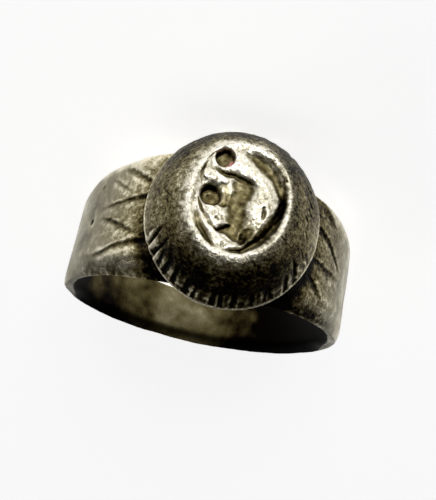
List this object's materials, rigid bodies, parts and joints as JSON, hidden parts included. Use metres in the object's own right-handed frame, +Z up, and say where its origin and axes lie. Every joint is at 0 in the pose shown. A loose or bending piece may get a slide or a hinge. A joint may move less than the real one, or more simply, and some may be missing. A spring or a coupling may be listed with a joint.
{
  "type": "seal ring",
  "caption": "Worn cast silver ring whose band widens to the shoulders and carries an oval domed bezel with a sunk seal and a notched flank.",
  "frame": {"origin": "centre of the bounding box on the surface that the ring lies on", "axes": "+Z up, the ring lying on its side; -Y towards the bezel, whose face looks along -Y and a little upwards; +Y towards the palm; X across the finger"},
  "size_m": [0.0206, 0.0252, 0.0121],
  "materials": {
    "silver": "old silver, worn matt, with dark tarnish in the hollows"
  },
  "bodies": {
    "root": {"ring": "silver"}
  },
  "joints": []
}
